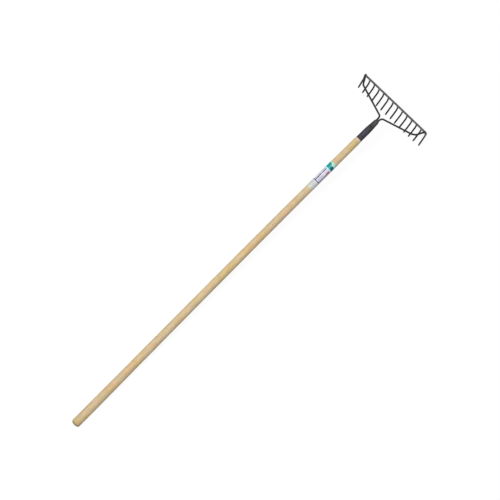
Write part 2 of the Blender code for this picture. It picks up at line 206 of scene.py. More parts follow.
# ---------------------------------------------------------------- fineness of the surfaces
HANDLE_SIDES = 80
HANDLE_SPACING = 0.004
SOCKET_SIDES = 96
SOCKET_RINGS = 54
ROD_SIDES = 22
ROD_SPACING = 0.0012
BEAD_SUBDIVISIONS = 5
COLLAR_SIDES = 48
COLLAR_RINGS = 22
NAIL_SIDES = 36
NAIL_DOME_RINGS = 8
LABEL_SIDES = 120
LABEL_RINGS = 80
ARC_STEP = math.radians(3)
SHARP_EDGE = math.radians(50)
ROUNDED_END = (0.0, 0.0001, 0.0003, 0.0006, 0.0010, 0.0016)  # distances of the rings that round a rod's end

# ---------------------------------------------------------------- view and light
CAMERA_PLACE = Vector((0.6751, -0.0915, 4.4925))
CAMERA_AIM = Vector((-0.0058, 0.0712, 0.0))
CAMERA_HEADING = math.radians(45.55)  # the top of the picture points this far left of +Y
CAMERA_LENS = 92.54
CAMERA_SENSOR = 36.0
KEY_PLACE = (-0.70, -0.25, 3.75)
KEY_POWER = 115.0
KEY_SIZE = (1.8, 1.8)
DOME_STRENGTH = 0.185
FLOOR_SIZE = 30.0
FLOOR_GLOW_SEEN = 0.93  # what the camera sees
FLOOR_GLOW_CAST = 0.45  # what lights the rake from below

random.seed(14)


def tool_frame():
    """Where the tool's own frame lies, from the flat of the butt in the record."""
    butt = next(mount for mount in frame["record"]["mounts"] if mount["name"] == "butt_face")
    forward = -Vector(butt["axis"]).normalized()
    right = Vector((1.0, 0.0, 0.0))
    turn = Matrix((right, forward, right.cross(forward))).transposed().to_4x4()
    return Matrix.Translation(Vector(butt["pos_m"]) - forward * BUTT_Y) @ turn


AT_REST = tool_frame()


# ---------------------------------------------------------------- camera, light, floor
def make_camera():
    data = bpy.data.cameras.new("camera")
    data.lens = CAMERA_LENS
    data.sensor_width = CAMERA_SENSOR
    camera = bpy.data.objects.new("camera", data)
    bpy.context.scene.collection.objects.link(camera)
    back = (CAMERA_PLACE - CAMERA_AIM).normalized()
    top = Matrix.Rotation(CAMERA_HEADING, 3, "Z") @ Vector((0.0, 1.0, 0.0))
    right = top.cross(back).normalized()
    turn = Matrix((right, back.cross(right), back)).transposed().to_4x4()
    camera.matrix_world = Matrix.Translation(CAMERA_PLACE) @ turn
    bpy.context.scene.camera = camera


def add_softbox(name, place, aim, size, power):
    data = bpy.data.lights.new(name, "AREA")
    data.shape = "RECTANGLE"
    data.size, data.size_y = size
    data.energy = power
    light = bpy.data.objects.new(name, data)
    bpy.context.scene.collection.objects.link(light)
    light.location = place
    light.rotation_euler = (Vector(aim) - Vector(place)).to_track_quat("-Z", "Y").to_euler()
    light.visible_camera = False


def make_studio():
    """A weak dome that the camera sees as white, and a softbox above the rake's left side."""
    world = bpy.data.worlds.new("studio")
    world.use_nodes = True
    nodes = world.node_tree.nodes
    seen = nodes.new("ShaderNodeLightPath").outputs["Is Camera Ray"]
    strength = nodes.new("ShaderNodeMapRange")
    strength.inputs["To Min"].default_value = DOME_STRENGTH
    strength.inputs["To Max"].default_value = 1.0
    world.node_tree.links.new(seen, strength.inputs["Value"])
    world.node_tree.links.new(strength.outputs[0], nodes["Background"].inputs["Strength"])
    nodes["Background"].inputs["Color"].default_value = (1.0, 1.0, 1.0, 1.0)
    bpy.context.scene.world = world
    bpy.context.scene.view_settings.view_transform = "Standard"
    add_softbox("key_softbox", KEY_PLACE, (0.0, 0.0, 0.0), KEY_SIZE, KEY_POWER)


# ---------------------------------------------------------------- materials
def srgb(red, green, blue):
    """A linear colour from the 0 to 255 values that a colour chart gives."""
    return tuple(
        channel / 12.92 if channel <= 0.04045 else ((channel + 0.055) / 1.055) ** 2.4
        for channel in (red / 255, green / 255, blue / 255)
    )


class Finish:
    """A Principled material, with short calls for the procedural nodes that feed it.

    A value given to a call is a number, a colour, a vector or another node's output.
    """

    def __init__(self, name, roughness, metallic=0.0, specular=0.5):
        self.material = bpy.data.materials.new(name)
        self.material.use_nodes = True
        self.tree = self.material.node_tree
        self.shader = self.tree.nodes["Principled BSDF"]
        self.place = self.node("TexCoord").outputs["Object"]
        self.set("Roughness", roughness)
        self.set("Metallic", metallic)
        self.set("Specular IOR Level", specular)

    def feed(self, socket, value):
        if isinstance(value, bpy.types.NodeSocket):
            self.tree.links.new(value, socket)
        elif socket.type == "RGBA":
            socket.default_value = (*value, 1.0)
        else:
            socket.default_value = value

    def set(self, name, value):
        self.feed(self.shader.inputs[name], value)

    def node(self, kind, inputs=None, **settings):
        made = self.tree.nodes.new("ShaderNode" + kind)
        for name, value in settings.items():
            setattr(made, name, value)
        for key, value in (inputs or {}).items():
            self.feed(made.inputs[key], value)
        return made

    def math(self, operation, first, second=0.0):
        return self.node("Math", {0: first, 1: second}, operation=operation).outputs[0]

    def axes(self):
        return self.node("SeparateXYZ", {0: self.place}).outputs

    def stretched(self, x, y, z):
        """The object's coordinates times a count of features per metre along each axis."""
        scaled = self.node("VectorMath", {0: self.place, 1: (x, y, z)}, operation="MULTIPLY")
        return scaled.outputs[0]

    def noise(self, vector, detail=3.0, roughness=0.5):
        inputs = {"Vector": vector, "Scale": 1.0, "Detail": detail, "Roughness": roughness}
        return self.node("TexNoise", inputs).outputs[0]

    def cells(self, vector):
        return self.node("TexVoronoi", {"Vector": vector, "Scale": 1.0}).outputs["Distance"]

    def ramp(self, value, start, end, low=0.0, high=1.0):
        """low before start and high after end, with a smooth change between them."""
        inputs = {0: value, 1: start, 2: end, 3: low, 4: high}
        return self.node("MapRange", inputs, interpolation_type="SMOOTHSTEP").outputs[0]

    def band(self, value, start, end, soft):
        """1 between start and end and 0 outside them, with soft edges of the given width."""
        rise = self.ramp(value, start - soft, start + soft)
        fall = self.ramp(value, end - soft, end + soft, 1.0, 0.0)
        return self.math("MULTIPLY", rise, fall)

    def mix(self, factor, first, second, blend="MIX"):
        inputs = {0: factor, 6: first, 7: second}
        made = self.node("Mix", inputs, data_type="RGBA", blend_type=blend)
        return made.outputs[2]

    def bump(self, height, distance, strength=1.0, normal=None):
        inputs = {"Height": height, "Distance": distance, "Strength": strength}
        if normal:
            inputs["Normal"] = normal
        return self.node("Bump", inputs).outputs[0]


def wood_finish():
    """Pale hardwood sawn along the grain: growth rings, pores, ray flecks and slow drifts of colour."""
    finish = Finish("pale_hardwood", 0.6, 0.0, 0.15)
    x, y, z = finish.axes()

    drift_x = finish.noise(finish.stretched(9, 1.7, 9), 1.0)
    drift_z = finish.noise(finish.stretched(7, 2.3, 8), 1.0)
    across = finish.math("ADD", x, finish.math("MULTIPLY", drift_x, RING_WAVER))
    depth = finish.math("ADD", z, finish.math("MULTIPLY", drift_z, RING_WAVER))
    across = finish.math("SUBTRACT", across, PITH.x)
    depth = finish.math("SUBTRACT", depth, PITH.z)
    squared = finish.math("ADD", finish.math("POWER", across, 2.0), finish.math("POWER", depth, 2.0))
    distance = finish.math("SQRT", squared)
    uneven = finish.noise(finish.stretched(90, 2.0, 90), 2.0)
    rings = finish.math("ADD", finish.math("DIVIDE", distance, GROWTH_RING), uneven)
    phase = finish.math("FRACT", rings)
    late_wood = finish.math(
        "MULTIPLY", finish.ramp(phase, 0.30, 0.92), finish.ramp(phase, 0.94, 1.0, 1.0, 0.0)
    )

    early = srgb(238, 215, 173)
    late = srgb(209, 174, 125)
    colour = finish.mix(finish.math("MULTIPLY", late_wood, 0.62), early, late)

    rosy = finish.ramp(finish.noise(finish.stretched(46, 33, 46), 2.0), 0.48, 0.62, 0.0, 0.52)
    golden = finish.ramp(finish.noise(finish.stretched(40, 27, 43), 2.0), 0.46, 0.64, 0.0, 0.55)
    ashen = finish.ramp(finish.noise(finish.stretched(52, 40, 49), 2.0), 0.50, 0.66, 0.0, 0.55)
    colour = finish.mix(rosy, colour, srgb(240, 190, 142))
    colour = finish.mix(golden, colour, srgb(224, 198, 128))
    colour = finish.mix(ashen, colour, srgb(218, 200, 168))

    streaks = finish.ramp(finish.noise(finish.stretched(380, 52, 380), 2.0), 0.32, 0.68, 0.93, 1.07)
    fibres = finish.noise(finish.stretched(1300, 22, 1300), 3.0, 0.6)
    fibre_shade = finish.math("MULTIPLY", finish.ramp(fibres, 0.30, 0.70, 0.84, 1.07), streaks)
    colour = finish.mix(1.0, colour, fibre_shade, "MULTIPLY")
    pores = finish.ramp(finish.noise(finish.stretched(2600, 70, 2600), 1.0), 0.62, 0.74)
    pores = finish.math("MULTIPLY", pores, finish.ramp(late_wood, 0.0, 0.8, 1.0, 0.35))
    colour = finish.mix(finish.math("MULTIPLY", pores, 0.42), colour, srgb(128, 96, 60))
    flecks = finish.ramp(finish.cells(finish.stretched(330, 62, 520)), 0.10, 0.24, 1.0, 0.0)
    colour = finish.mix(finish.math("MULTIPLY", flecks, 0.30), colour, srgb(240, 222, 184))

    sawn = finish.ramp(y, MOUTH_Y - 0.013, MOUTH_Y - 0.004, 0.0, 0.75)
    colour = finish.mix(sawn, colour, srgb(230, 220, 197))
    handled = finish.ramp(y, BUTT_Y + 0.006, BUTT_Y + 0.030, 0.50, 0.0)
    colour = finish.mix(handled, colour, srgb(208, 182, 116))
    soiled = finish.ramp(y, BUTT_Y + 0.003, BUTT_Y + 0.012, 0.70, 0.0)
    colour = finish.mix(soiled, colour, srgb(140, 126, 98))
    finish.set("Base Color", colour)

    finish.set("Roughness", finish.ramp(fibres, 0.3, 0.7, 0.60, 0.44))
    grain = finish.bump(fibres, 0.00012, 0.7)
    ridges = finish.bump(late_wood, 0.00008, 0.5, grain)
    finish.set("Normal", finish.bump(finish.math("SUBTRACT", 1.0, pores), 0.00010, 0.8, ridges))
    return finish.material


def paint_finish(name, paint, dusty, dust_share, worn_below=None, stains_and_painted_light=None):
    """Satin enamel over steel: an uneven film with orange peel, a dry bloom, and specks where it is worn."""
    finish = Finish(name, 0.42, 0.0, 0.2)
    clouds = finish.noise(finish.stretched(120, 90, 120), 3.0)
    bloom = finish.ramp(clouds, 0.30, 0.72, 0.35 * dust_share, 1.6 * dust_share)
    colour = finish.mix(bloom, paint, dusty)
    # real stains come in here, and on the socket also its painted shade and painted highlight
    if stains_and_painted_light:
        colour = stains_and_painted_light(finish, colour)
    specks = finish.ramp(finish.noise(finish.stretched(900, 760, 900), 4.0, 0.6), 0.67, 0.71)
    wear = finish.math("MULTIPLY", specks, 0.50)
    if worn_below is not None:
        height = finish.axes()[2]
        ragged = finish.math("MULTIPLY", finish.noise(finish.stretched(420, 300, 420), 4.0), 0.016)
        worn = finish.ramp(finish.math("ADD", height, ragged), worn_below, worn_below + 0.004, 0.35, 0.0)
        wear = finish.math("MAXIMUM", wear, worn)
    colour = finish.mix(wear, colour, srgb(112, 110, 108))
    finish.set("Base Color", colour)
    finish.set("Metallic", finish.math("MULTIPLY", wear, 0.85))
    finish.set("Roughness", finish.ramp(clouds, 0.25, 0.75, 0.36, 0.54))
    peel = finish.bump(finish.noise(finish.stretched(2100, 2100, 2100), 2.0), 0.00006, 0.6)
    finish.set("Normal", finish.bump(clouds, 0.00022, 0.5, peel))
    return finish.material


def socket_stains_and_painted_light(finish, colour):
    """Painted shade, tinted brown like light thrown off the wood, on the rim at the mouth; the bare grey of
    the hammered end; and a painted highlight along the middle of its narrow end.
    """
    x, y, _ = finish.axes()
    ragged = finish.math("MULTIPLY", finish.noise(finish.stretched(300, 60, 300), 3.0), 0.004)
    forward = finish.math("ADD", y, ragged)
    # painted shade: a brownish band round the rim at the mouth, where the socket meets the wood
    painted_mouth_shade = finish.ramp(forward, MOUTH_Y + 0.005, MOUTH_Y + 0.012, 0.75, 0.0)
    colour = finish.mix(painted_mouth_shade, colour, srgb(80, 72, 62))
    bare_start = SOCKET_WIDTH_TAPER_START
    bare = finish.ramp(forward, bare_start - 0.004, bare_start + 0.010, 0.0, 0.85)
    colour = finish.mix(bare, colour, srgb(66, 67, 68))
    # painted highlight: paler grey along the middle of the narrow end
    narrow_end = finish.ramp(forward, TENON_END_Y - 0.004, TENON_END_Y + 0.004, 0.0, 0.6)
    middle = finish.math("MULTIPLY", finish.band(x, -0.004, 0.005, 0.002), narrow_end)
    return finish.mix(middle, colour, srgb(98, 98, 100))


def bar_stains(finish, colour):
    """The rod is still black where it bends down into the end tines; along the bar it is weathered grey."""
    height = finish.axes()[2]
    ragged = finish.math("MULTIPLY", finish.noise(finish.stretched(220, 160, 220), 3.0), 0.008)
    fresh = finish.ramp(finish.math("ADD", height, ragged), BAR_Z - 0.014, BAR_Z - 0.002, 0.9, 0.0)
    return finish.mix(fresh, colour, srgb(30, 29, 34))


def nail_finish():
    finish = Finish("blued_nail_steel", 0.45, 0.75)
    spots = finish.noise(finish.stretched(1500, 1500, 1500), 4.0, 0.6)
    rust = finish.ramp(spots, 0.55, 0.72, 0.0, 0.7)
    finish.set("Base Color", finish.mix(rust, srgb(62, 60, 66), srgb(92, 66, 50)))
    finish.set("Metallic", finish.ramp(spots, 0.50, 0.75, 0.8, 0.1))
    finish.set("Roughness", finish.ramp(spots, 0.4, 0.8, 0.38, 0.75))
    finish.set("Normal", finish.bump(spots, 0.0001, 0.6))
    return finish.material


def label_finish():
    """A satin film: a clouded tail, a framed pale panel with plain lines, a teal and mint end, and a painted
    highlight where the teal meets the mint.
    """
    finish = Finish("printed_film", 0.38, 0.0, 0.3)
    x, y, z = finish.axes()
    x = finish.math("SUBTRACT", x, warp_at(BUTT_Y + LABEL_START + LABEL_LENGTH / 2))
    along = finish.math("SUBTRACT", y, BUTT_Y + LABEL_START)
    around = finish.math("MULTIPLY", finish.math("ARCTAN2", x, z), PRINT_RADIUS)

    def both(first, second):
        return finish.math("MULTIPLY", first, second)

    def past(value, place):
        """0 before a place and 1 after it."""
        return finish.ramp(value, place - PRINT_EDGE, place + PRINT_EDGE)

    def rectangle(span, reach_around):
        """1 inside a rectangle of the print and 0 outside it."""
        return both(finish.band(along, *span, PRINT_EDGE), finish.band(around, *reach_around, PRINT_EDGE))

    def squared_offset(value, axis):
        """How far a place is from the painted highlight's centre along one axis, as a squared share of its
        half size.
        """
        offset = finish.math("SUBTRACT", value, PAINTED_HIGHLIGHT_CENTRE[axis])
        return finish.math("POWER", finish.math("DIVIDE", offset, PAINTED_HIGHLIGHT_HALF_SIZE[axis]), 2.0)

    streaks = finish.noise(finish.stretched(420, 22, 420), 3.0)
    panel = finish.band(along, *PANEL_SPAN, PRINT_EDGE)
    tint = finish.ramp(finish.noise(finish.stretched(60, 26, 60), 2.0), 0.35, 0.65, 0.0, 0.6)
    rules = finish.band(finish.math("FRACT", finish.math("DIVIDE", around, RULE_PITCH)), 0.35, 0.75, 0.08)
    mint = past(finish.math("ADD", along, finish.math("MULTIPLY", around, MINT_SLANT)), MINT_START)
    teal = both(past(along, TEAL_START), finish.math("SUBTRACT", 1.0, mint))
    right_side = finish.math("ADD", around, finish.math("MULTIPLY", along, DEEP_TEAL_SLANT))
    deep_teal = both(teal, finish.ramp(right_side, *DEEP_TEAL_START))
    from_painted_highlight = finish.math("ADD", squared_offset(along, 0), squared_offset(around, 1))

    print_and_highlight_layers = (
        (panel, srgb(238, 238, 248), 1.0),
        (both(panel, tint), srgb(222, 220, 244), 1.0),
        (finish.band(along, *END_LINE_SPAN, PRINT_EDGE), srgb(48, 44, 92), 1.0),
        (rectangle(FRAME_SPAN, STEM_AROUND), srgb(44, 44, 78), 1.0),
        (rectangle(STEM_GAP_SPAN, STEM_AROUND), srgb(236, 238, 246), 1.0),
        (rectangle(SIDE_LINE_SPAN, SIDE_LINE_AROUND), srgb(58, 54, 78), 1.0),
        (both(rules, rectangle(RULED_SPAN, RULED_AROUND)), srgb(170, 162, 206), 0.8),
        (rectangle(BLOCK_SPAN, BLOCK_AROUND), srgb(212, 112, 136), 1.0),
        (rectangle(FRAME_SPAN, TOP_LINE_AROUND), srgb(150, 140, 180), 0.7),
        (past(along, FRAME_SPAN[1]), srgb(196, 246, 252), 1.0),
        (mint, srgb(188, 236, 206), 1.0),
        (teal, srgb(28, 170, 166), 1.0),
        (deep_teal, srgb(20, 108, 128), 1.0),
        # a painted highlight, not print: a pale cyan disc between the teal and the mint
        (finish.ramp(from_painted_highlight, 0.3, 1.1, 1.0, 0.0), srgb(206, 250, 252), 0.9),
    )
    colour = finish.mix(finish.ramp(streaks, 0.3, 0.7), srgb(222, 226, 221), srgb(206, 208, 199))
    for mask, layer_colour, share in print_and_highlight_layers:
        colour = finish.mix(finish.math("MULTIPLY", mask, share), colour, layer_colour)
    finish.set("Base Color", colour)

    finish.set("Roughness", finish.ramp(streaks, 0.3, 0.7, 0.32, 0.46))
    finish.set("Coat Weight", 0.12)
    finish.set("Coat Roughness", 0.18)
    finish.set("Normal", finish.bump(finish.noise(finish.stretched(260, 120, 260), 2.0), 0.0001, 0.5))
    return finish.material


def floor_finish():
    """A pale floor that glows, so that the shadows on it stay faint; it glows more to the camera."""
    finish = Finish("pale_floor", 0.9, 0.0, 0.0)
    mottle = finish.noise(finish.stretched(5, 5, 5), 3.0)
    finish.set("Base Color", finish.mix(mottle, (0.09, 0.09, 0.09), (0.11, 0.11, 0.11)))
    finish.set("Emission Color", (1.0, 1.0, 1.0))
    seen = finish.node("LightPath").outputs["Is Camera Ray"]
    finish.set("Emission Strength", finish.ramp(seen, 0.0, 1.0, FLOOR_GLOW_CAST, FLOOR_GLOW_SEEN))
    return finish.material


# ---------------------------------------------------------------- shape helpers
def ease(value, start, end):
    """0 before start, 1 after end, with a smooth change between them."""
    t = min(1.0, max(0.0, (value - start) / (end - start)))
    return t * t * (3 - 2 * t)


def skin(name, rings):
    """A closed mesh over rings of points, with a fan over each end."""
    mesh = bpy.data.meshes.new(name)
    body = bmesh.new()
    rows = [[body.verts.new(point) for point in ring] for ring in rings]
    count = len(rows[0])
    for near, far in zip(rows, rows[1:]):
        for i in range(count):
            j = (i + 1) % count
            body.faces.new((near[i], near[j], far[j], far[i]))
    for row in (rows[0], rows[-1]):
        hub = body.verts.new(sum((vertex.co for vertex in row), Vector()) / count)
        for i in range(count):
            body.faces.new((row[i], row[(i + 1) % count], hub))
    bmesh.ops.recalc_face_normals(body, faces=body.faces)
    body.to_mesh(mesh)
    body.free()
    mesh.shade_smooth()
    mesh.set_sharp_from_angle(angle=SHARP_EDGE)
    return mesh


def add_piece(name, mesh, node, material):
    mesh.materials.append(material)
    piece = bpy.data.objects.new(name, mesh)
    bpy.context.scene.collection.objects.link(piece)
    piece.matrix_world = AT_REST
    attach(piece, "root")
    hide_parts(node)
    return piece


def filleted(corners, radii):
    """Points along the straight runs between corners, with an arc of the given radius at each inner one."""
    points = [corners[0]]
    for before, corner, after, radius in zip(corners, corners[1:], corners[2:], radii):
        back = (before - corner).normalized()
        ahead = (after - corner).normalized()
        opening = back.angle(ahead)
        centre = corner + (back + ahead).normalized() * (radius / math.sin(opening / 2))
        start = corner + back * (radius / math.tan(opening / 2)) - centre
        end = corner + ahead * (radius / math.tan(opening / 2)) - centre
        axis = start.cross(end)
        steps = max(2, math.ceil((math.pi - opening) / ARC_STEP))
        for i in range(steps + 1):
            points.append(centre + Matrix.Rotation((math.pi - opening) * i / steps, 3, axis) @ start)
    points.append(corners[-1])
    return points


def path_length(points):
    return sum((after - before).length for before, after in zip(points, points[1:]))


def walk(points, distances):
    """The points at rising distances along a path."""
    found = []
    runs = zip(points, points[1:])
    before, after = next(runs)
    passed = 0.0
    for distance in distances:
        while distance > passed + (after - before).length + 1e-9:
            passed += (after - before).length
            before, after = next(runs)
        found.append(before + (after - before).normalized() * (distance - passed))
    return found


def rod_stations(length):
    """Distances along a rod: even, and close together at its two rounded ends."""
    inner = length - 2 * ROUNDED_END[-1]
    count = round(inner / ROD_SPACING)
    middle = [ROUNDED_END[-1] + inner * i / count for i in range(1, count)]
    return [*ROUNDED_END, *middle, *(length - step for step in reversed(ROUNDED_END))]


def end_factor(distance, tip_factor):
    """The share of its radius that a rod has near its end: drawn down to tip_factor, then rounded over."""
    drawn = tip_factor + (1 - tip_factor) * min(1.0, distance / TINE_TIP_LENGTH)
    t = min(1.0, distance / ROUNDED_END[-1])
    return drawn * (0.7 + 0.3 * math.sqrt(1 - (1 - t) ** 2))


def rod(name, route, radius_at, tip_factor):
    """A round drawn rod with a faintly uneven skin; radius_at gives its radius at each point."""
    length = path_length(route)
    stations = rod_stations(length)
    places = walk(route, stations)
    side = (places[1] - places[0]).orthogonal()
    rings = []
    for i, (place, station) in enumerate(zip(places, stations)):
        ahead = (places[min(i + 1, len(places) - 1)] - places[max(i - 1, 0)]).normalized()
        side = (side - ahead * side.dot(ahead)).normalized()
        other = ahead.cross(side)
        narrowing = end_factor(min(station, length - station), tip_factor)
        ring = []
        for k in range(ROD_SIDES):
            angle = 2 * math.pi * k / ROD_SIDES
            outward = side * math.cos(angle) + other * math.sin(angle)
            uneven = ROD_MEAN_SHARE + ROD_UNEVENNESS * noise.noise(place * 160 + outward * 0.7)
            ring.append(place + outward * (radius_at(place) * narrowing * uneven))
        rings.append(ring)
    return skin(name, rings)


# ---------------------------------------------------------------- handle
def warp_at(y):
    """The x of the axis of the shaft and the socket, which is bent off the straight line to the weld."""
    share = min(1.0, max(0.0, (y - BUTT_Y) / (-WELD_REACH - BUTT_Y)))
    deepest = WARP_SKEW / (1 + WARP_SKEW)
    return -HANDLE_WARP * (share / deepest) ** WARP_SKEW * (1 - share) / (1 - deepest)


def handle_radius(distance):
    """The shaft's radius at a distance from the butt."""
    for (near, near_radius), (far, far_radius) in zip(HANDLE_TAPER, HANDLE_TAPER[1:]):
        if distance <= far:
            return near_radius + (far_radius - near_radius) * ease(distance, near, far)
    return HANDLE_TAPER[-1][1]


def rounded_profile(start_y, radius, rounding, forward):
    """(radius, y) pairs round a quarter-circle edge; forward is 1 at the rear end, -1 at the front end."""
    steps = 9
    pairs = []
    for i in range(steps + 1):
        angle = math.pi / 2 * i / steps
        inset = rounding * (1 - math.sin(angle))
        advance = rounding * (1 - math.cos(angle))
        pairs.append((radius - inset, start_y + forward * advance))
    return pairs


def make_shaft(material):
    visible = MOUTH_Y - BUTT_Y
    profile = rounded_profile(BUTT_Y, BUTT_RADIUS, BUTT_ROUNDING, 1)
    between = visible - BUTT_ROUNDING - SHOULDER_ROUNDING
    count = round(between / HANDLE_SPACING)
    for i in range(1, count):
        distance = BUTT_ROUNDING + between * i / count
        profile.append((handle_radius(distance), BUTT_Y + distance))
    front_y = MOUTH_Y - SHOULDER_GAP
    shoulder = rounded_profile(front_y, handle_radius(visible - SHOULDER_ROUNDING), SHOULDER_ROUNDING, -1)
    profile += reversed(shoulder)
    profile += [
        (TENON_RADIUS, front_y),
        (TENON_RADIUS, TENON_TAPER_Y),
        (TENON_END_RADIUS, TENON_END_Y),
    ]
    rings = []
    for radius, y in profile:
        ring = []
        for k in range(HANDLE_SIDES):
            angle = 2 * math.pi * k / HANDLE_SIDES
            outward = Vector((math.cos(angle), 0.0, math.sin(angle)))
            planed = PLANED_DEPTH * noise.noise(Vector((outward.x * 1.6, y * 14, outward.z * 1.6)))
            rough = ROUGH_GRAIN_DEPTH * noise.noise(Vector((outward.x * 7, y * 60, outward.z * 7)))
            skin_radius = radius + planed + rough - SKIN_INSET
            ring.append(Vector((warp_at(y), y, 0.0)) + outward * skin_radius)
        rings.append(ring)
    add_piece("wooden_shaft", skin("wooden_shaft", rings), "handle_shaft", material)


def make_film_label(material):
    """A thin film round the shaft, open along a gap underneath, with its corners a little lifted."""
    mesh = bpy.data.meshes.new("film_label")
    body = bmesh.new()
    rows = []
    for i in range(LABEL_RINGS + 1):
        share = i / LABEL_RINGS
        distance = LABEL_START + LABEL_LENGTH * share
        radius = handle_radius(distance) + LABEL_STANDOFF
        margin = LABEL_SEAM / 2 / radius
        row = []
        for k in range(LABEL_SIDES + 1):
            turn = k / LABEL_SIDES
            angle = -math.pi / 2 + margin + (2 * math.pi - 2 * margin) * turn
            outward = Vector((math.cos(angle), 0.0, math.sin(angle)))
            to_end = min(share, 1 - share) * LABEL_LENGTH
            to_seam = min(turn, 1 - turn) * 2 * math.pi * radius
            lift = LABEL_CORNER_LIFT * (1 - ease(to_end + to_seam, 0.0, LABEL_CORNER_REACH))
            wrinkle = FILM_WRINKLE * noise.noise(Vector((angle * 4, distance * 130, 3.0)))
            crimp = FILM_EDGE_WRINKLE * noise.noise(Vector((angle * 1.5, distance * 400, 8.0)))
            crimp *= 1 - ease(to_end, 0.0, 0.006)
            middle = Vector((warp_at(BUTT_Y + distance), BUTT_Y + distance, 0.0))
            row.append(body.verts.new(middle + outward * (radius + lift + wrinkle + crimp)))
        rows.append(row)
    for rear, front in zip(rows, rows[1:]):
        for k in range(LABEL_SIDES):
            body.faces.new((rear[k], front[k], front[k + 1], rear[k + 1]))
    body.to_mesh(mesh)
    body.free()
    mesh.shade_smooth()
    piece = add_piece("film_label", mesh, "handle_label", material)
    film = piece.modifiers.new("film", "SOLIDIFY")
    film.thickness = LABEL_FILM
    film.offset = -1.0


# ---------------------------------------------------------------- socket and nails
def socket_half_width(y):
    fall = ease(y, SOCKET_WIDTH_TAPER_START, -WELD_REACH)
    return SOCKET_RADIUS - (SOCKET_RADIUS - SOCKET_END_HALF_WIDTH) * fall


def socket_half_height(y):
    fall = ease(y, SOCKET_HEIGHT_TAPER_START, -WELD_REACH)
    return SOCKET_RADIUS - (SOCKET_RADIUS - SOCKET_END_HALF_HEIGHT) * fall


def socket_point(y, angle):
    """A point of the socket's outer face, round at the mouth and pressed in between the rods at the end."""
    point = Vector((socket_half_width(y) * math.cos(angle), y, socket_half_height(y) * math.sin(angle)))
    groove = SOCKET_GROOVE_SHARE * math.exp(-((point.x / SOCKET_GROOVE_WIDTH) ** 2))
    point.z *= 1 - groove * ease(y, SOCKET_WIDTH_TAPER_START, SOCKET_GROOVE_FULL_Y)
    for nail_y in NAIL_Y.values():
        away = Vector((point.x, point.y - nail_y)).length
        if point.z > 0:
            point.z -= NAIL_DENT_DEPTH * math.exp(-((away / NAIL_DENT_RADIUS) ** 2))
    around = Vector((math.cos(angle), 0.0, math.sin(angle)))
    dents = SOCKET_DENT_DEPTH * noise.noise(around * 1.3 + Vector((0.0, y * 70, 0.0)))
    hammered = SOCKET_HAMMER_DEPTH * noise.noise(around * 3.5 + Vector((0.0, y * 240, 0.0)))
    outward = Vector((point.x, 0.0, point.z)).normalized()
    return point + outward * (dents + hammered - SKIN_INSET) + Vector((warp_at(y), 0.0, 0.0))


def make_socket_shell(material):
    """A sheet rolled round the tenon, with its open joint underneath."""
    mesh = bpy.data.meshes.new("socket_shell")
    body = bmesh.new()
    margin = SEAM_WIDTH / 2 / SOCKET_RADIUS
    rows = []
    for i in range(SOCKET_RINGS + 1):
        y = MOUTH_Y + (-WELD_REACH - MOUTH_Y) * i / SOCKET_RINGS
        row = []
        for k in range(SOCKET_SIDES + 1):
            angle = -math.pi / 2 + margin + (2 * math.pi - 2 * margin) * k / SOCKET_SIDES
            row.append(body.verts.new(socket_point(y, angle)))
        rows.append(row)
    for rear, front in zip(rows, rows[1:]):
        for k in range(SOCKET_SIDES):
            body.faces.new((rear[k], front[k], front[k + 1], rear[k + 1]))
    body.to_mesh(mesh)
    body.free()
    mesh.shade_smooth()
    mesh.set_sharp_from_angle(angle=SHARP_EDGE)
    piece = add_piece("socket_shell", mesh, "socket_ferrule", material)
    sheet = piece.modifiers.new("sheet", "SOLIDIFY")
    sheet.thickness = SOCKET_SHEET
    sheet.offset = -1.0
    sheet.use_even_offset = True
    edges = piece.modifiers.new("soft_edges", "BEVEL")
    edges.width = SOCKET_EDGE
    edges.segments = 3
    edges.limit_method = "ANGLE"
    edges.angle_limit = SHARP_EDGE


def make_socket_nail(name, material):
    """A hammered nail: an uneven domed head in its dent, and a shank into the wood."""
    y = NAIL_Y[name]
    step = 0.0005
    slope = (socket_half_height(y + step) - socket_half_height(y - step)) / (2 * step)
    seat = socket_half_height(y) - NAIL_DENT_DEPTH
    place = Matrix.Translation((warp_at(y), y, seat)) @ Matrix.Rotation(math.atan(slope), 4, "X")
    profile = []
    for i in range(1, NAIL_DOME_RINGS + 1):
        angle = math.pi / 2 * i / NAIL_DOME_RINGS
        profile.append((NAIL_HEAD_RADIUS * math.sin(angle), NAIL_HEAD_HEIGHT * math.cos(angle) ** 0.8))
    profile += [
        (NAIL_HEAD_RADIUS * 0.97, -0.0002),
        (NAIL_SHANK_RADIUS, -0.0003),
        (NAIL_SHANK_RADIUS, -NAIL_LENGTH * 0.8),
        (NAIL_SHANK_RADIUS * 0.15, -NAIL_LENGTH),
    ]
    rings = []
    for radius, height in profile:
        ring = []
        for k in range(NAIL_SIDES):
            angle = 2 * math.pi * k / NAIL_SIDES
            spot = Vector((math.cos(angle) * radius, math.sin(angle) * radius, height))
            lump = NAIL_LUMPS * noise.noise(spot * 700 + Vector((y * 50, 0.0, 0.0)))
            ring.append(place @ (spot * (1 + lump / max(spot.length, 0.0008))))
        rings.append(ring)
    mesh = skin("nail_" + name, rings)
    add_piece("nail_" + name, mesh, "socket_nail_" + name, material)


# ---------------------------------------------------------------- bow
def bar_height(x):
    """The height of the bar's axis, which drops along an arc at the two corners."""
    left_corner = BAR_END_X["left"] + BAR_CORNER_BEND
    right_corner = BAR_END_X["right"] - BAR_CORNER_BEND
    past = max(0.0, left_corner - x, x - right_corner)
    return BAR_Z - BAR_CORNER_BEND + math.sqrt(BAR_CORNER_BEND**2 - past**2)


